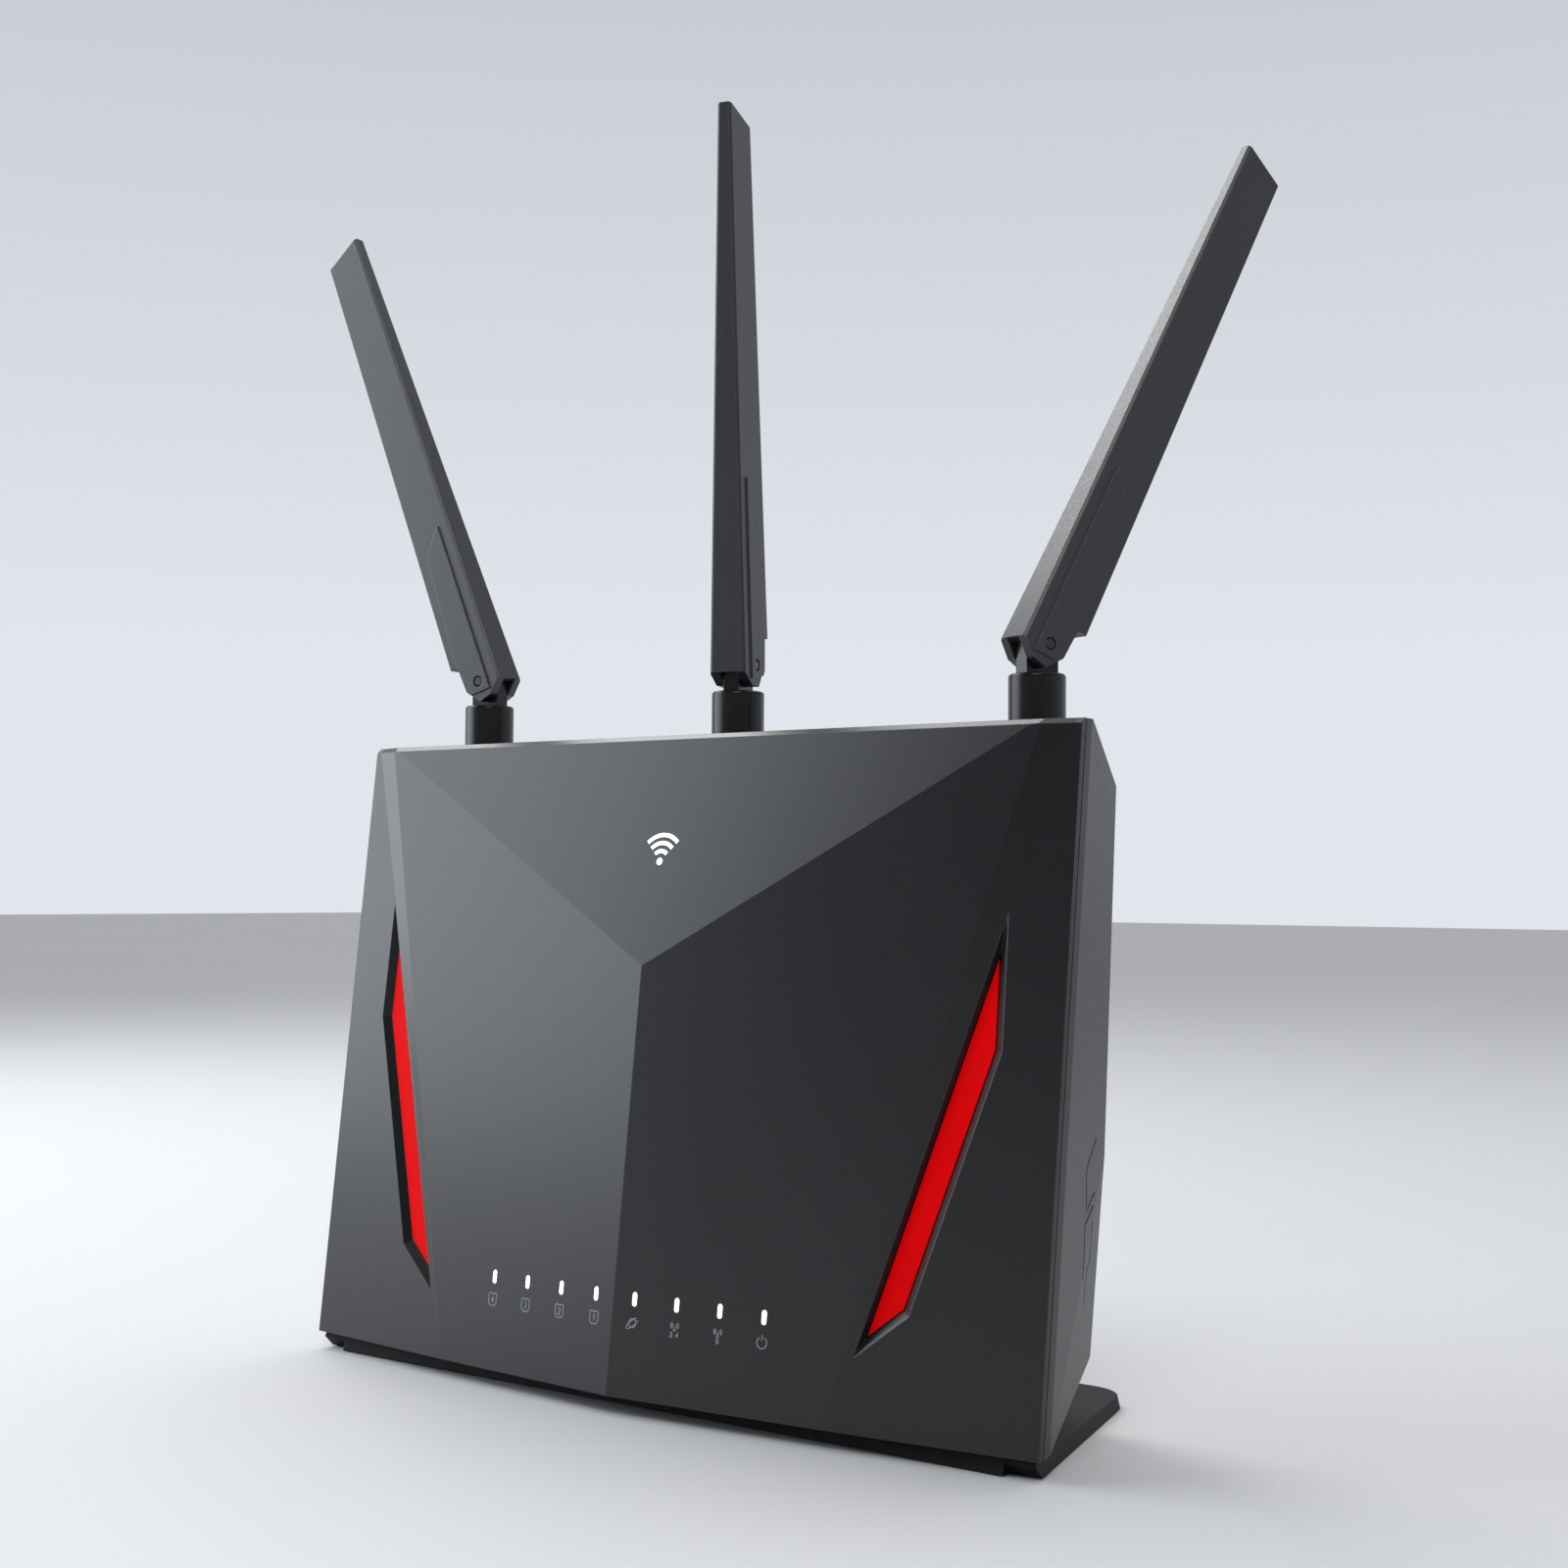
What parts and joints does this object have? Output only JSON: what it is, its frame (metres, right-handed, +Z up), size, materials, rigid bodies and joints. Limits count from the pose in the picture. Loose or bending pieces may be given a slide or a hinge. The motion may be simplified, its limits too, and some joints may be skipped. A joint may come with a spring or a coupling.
{
  "type": "wireless router",
  "caption": "Upright wireless router with a faceted front, red wing accents, a flat stand and hinged blade aerials that swivel and tilt.",
  "frame": {"origin": "middle of the stand's footprint, on the surface that the router stands on", "axes": "+X to the viewer's right, +Y to the back, +Z up"},
  "size_m": [0.2647, 0.1137, 0.3183],
  "materials": {
    "front_plastic": "satin, very fine moulded grain",
    "rear_plastic": "satin, fine moulded grain",
    "stand_plastic": "satin",
    "red_accent": "smooth, saturated red",
    "emblem_metal": "bright satin",
    "light_guide_plastic": "clear, lit white at the tips",
    "foot_rubber": "matt",
    "screw_steel": "zinc-plated",
    "board_laminate": "green solder mask",
    "chip_plastic": "matt epoxy",
    "sink_aluminium": "extruded, satin",
    "can_steel": "tinned",
    "capacitor_sleeve": "shrink sleeve",
    "led_plastic": "diffuse",
    "lan_plastic": "yellow moulding",
    "wan_plastic": "blue moulding",
    "usb_steel": "stamped shell",
    "inlet_plastic": "black moulding",
    "button_plastic": "polished",
    "reset_plastic": "plain",
    "switch_plastic": "plain",
    "jack_brass": "gold-plated",
    "nut_brass": "nickel brass",
    "lead_jacket": "extruded jacket",
    "label_film": "printed film, blank",
    "aerial_plastic": "satin with fine spark grain",
    "sleeve_plastic": "smooth",
    "element_board": "thin laminate",
    "pin_plastic": "smooth"
  },
  "bodies": {
    "housing": {"aerial_jacks": "jack_brass", "aerial_leads": "lead_jacket", "board_connectors": "nut_brass", "board_screws": "screw_steel", "capacitors": "capacitor_sleeve", "front_cover": "front_plastic", "front_emblem": "emblem_metal", "housing_screws": "screw_steel", "jack_nuts": "nut_brass", "lan_jack_block": "lan_plastic", "left_accent": "red_accent", "light_guide": "light_guide_plastic", "lights_switch": "switch_plastic", "main_board": "board_laminate", "memory_chips": "chip_plastic", "network_magnetics": "chip_plastic", "power_inlet": "inlet_plastic", "power_switch": "switch_plastic", "processor_chip": "chip_plastic", "processor_heat_sink": "sink_aluminium", "radio_chip": "chip_plastic", "radio_heat_sink": "sink_aluminium", "rating_label": "label_film", "rear_cover": "rear_plastic", "reset_switch": "switch_plastic", "right_accent": "red_accent", "rubber_feet": "foot_rubber", "shield_cans": "can_steel", "side_switches": "switch_plastic", "stand_base": "stand_plastic", "stand_screws": "screw_steel", "status_leds": "led_plastic", "usb_sockets": "usb_steel", "wan_jack": "wan_plastic"},
    "left_swivel": {"left_aerial_sleeve": "sleeve_plastic"},
    "left_blade": {"left_aerial_blade": "aerial_plastic", "left_aerial_back_strip": "aerial_plastic", "left_aerial_element": "element_board", "left_aerial_pin": "pin_plastic"},
    "middle_swivel": {"middle_aerial_sleeve": "sleeve_plastic"},
    "middle_blade": {"middle_aerial_blade": "aerial_plastic", "middle_aerial_back_strip": "aerial_plastic", "middle_aerial_element": "element_board", "middle_aerial_pin": "pin_plastic"},
    "right_swivel": {"right_aerial_sleeve": "sleeve_plastic"},
    "right_blade": {"right_aerial_blade": "aerial_plastic", "right_aerial_back_strip": "aerial_plastic", "right_aerial_element": "element_board", "right_aerial_pin": "pin_plastic"},
    "wireless_button": {"wireless_button": "button_plastic"},
    "lights_button": {"lights_button": "button_plastic"},
    "power_button": {"power_button": "button_plastic"},
    "reset_button": {"reset_button": "reset_plastic"},
    "pairing_button": {"pairing_button": "button_plastic"}
  },
  "joints": [
    {"name": "left_swivel_turn", "type": "hinge", "parent": "housing", "child": "left_swivel", "pos_m": [-0.087, -0.0026, 0.165], "axis": [0, 0, 1], "range_deg": [-90, 90]},
    {"name": "left_blade_tilt", "type": "hinge", "parent": "left_swivel", "child": "left_blade", "pos_m": [-0.087, -0.0026, 0.178], "axis": [0.0767, -0.9971, 0], "range_deg": [-23.6, 66.4]},
    {"name": "middle_swivel_turn", "type": "hinge", "parent": "housing", "child": "middle_swivel", "pos_m": [0, -0.0026, 0.165], "axis": [0, 0, -1], "range_deg": [-90, 90]},
    {"name": "middle_blade_tilt", "type": "hinge", "parent": "middle_swivel", "child": "middle_blade", "pos_m": [0, -0.0026, 0.178], "axis": [-0.9686, -0.2487, 0], "range_deg": [-0.4, 92.6]},
    {"name": "right_swivel_turn", "type": "hinge", "parent": "housing", "child": "right_swivel", "pos_m": [0.087, -0.0026, 0.165], "axis": [0, 0, -1], "range_deg": [-90, 90]},
    {"name": "right_blade_tilt", "type": "hinge", "parent": "right_swivel", "child": "right_blade", "pos_m": [0.087, -0.0026, 0.178], "axis": [-0.9191, 0.3939, 0], "range_deg": [-28.5, 61.5]},
    {"name": "power_button_press", "type": "slide", "parent": "housing", "child": "power_button", "axis": [0, -1, 0], "range_m": [0, 0.0018], "stiffness_N_per_m": 400, "springref_m": -0.0004},
    {"name": "lights_button_press", "type": "slide", "parent": "housing", "child": "lights_button", "axis": [0, -1, 0], "range_m": [0, 0.0008], "stiffness_N_per_m": 250, "springref_m": -0.0004},
    {"name": "reset_button_press", "type": "slide", "parent": "housing", "child": "reset_button", "axis": [0, -1, 0], "range_m": [0, 0.0008], "stiffness_N_per_m": 250, "springref_m": -0.0004},
    {"name": "pairing_button_press", "type": "slide", "parent": "housing", "child": "pairing_button", "axis": [1, 0, 0], "range_m": [0, 0.001], "stiffness_N_per_m": 250, "springref_m": -0.0004},
    {"name": "wireless_button_press", "type": "slide", "parent": "housing", "child": "wireless_button", "axis": [1, 0, 0], "range_m": [0, 0.001], "stiffness_N_per_m": 250, "springref_m": -0.0004}
  ]
}
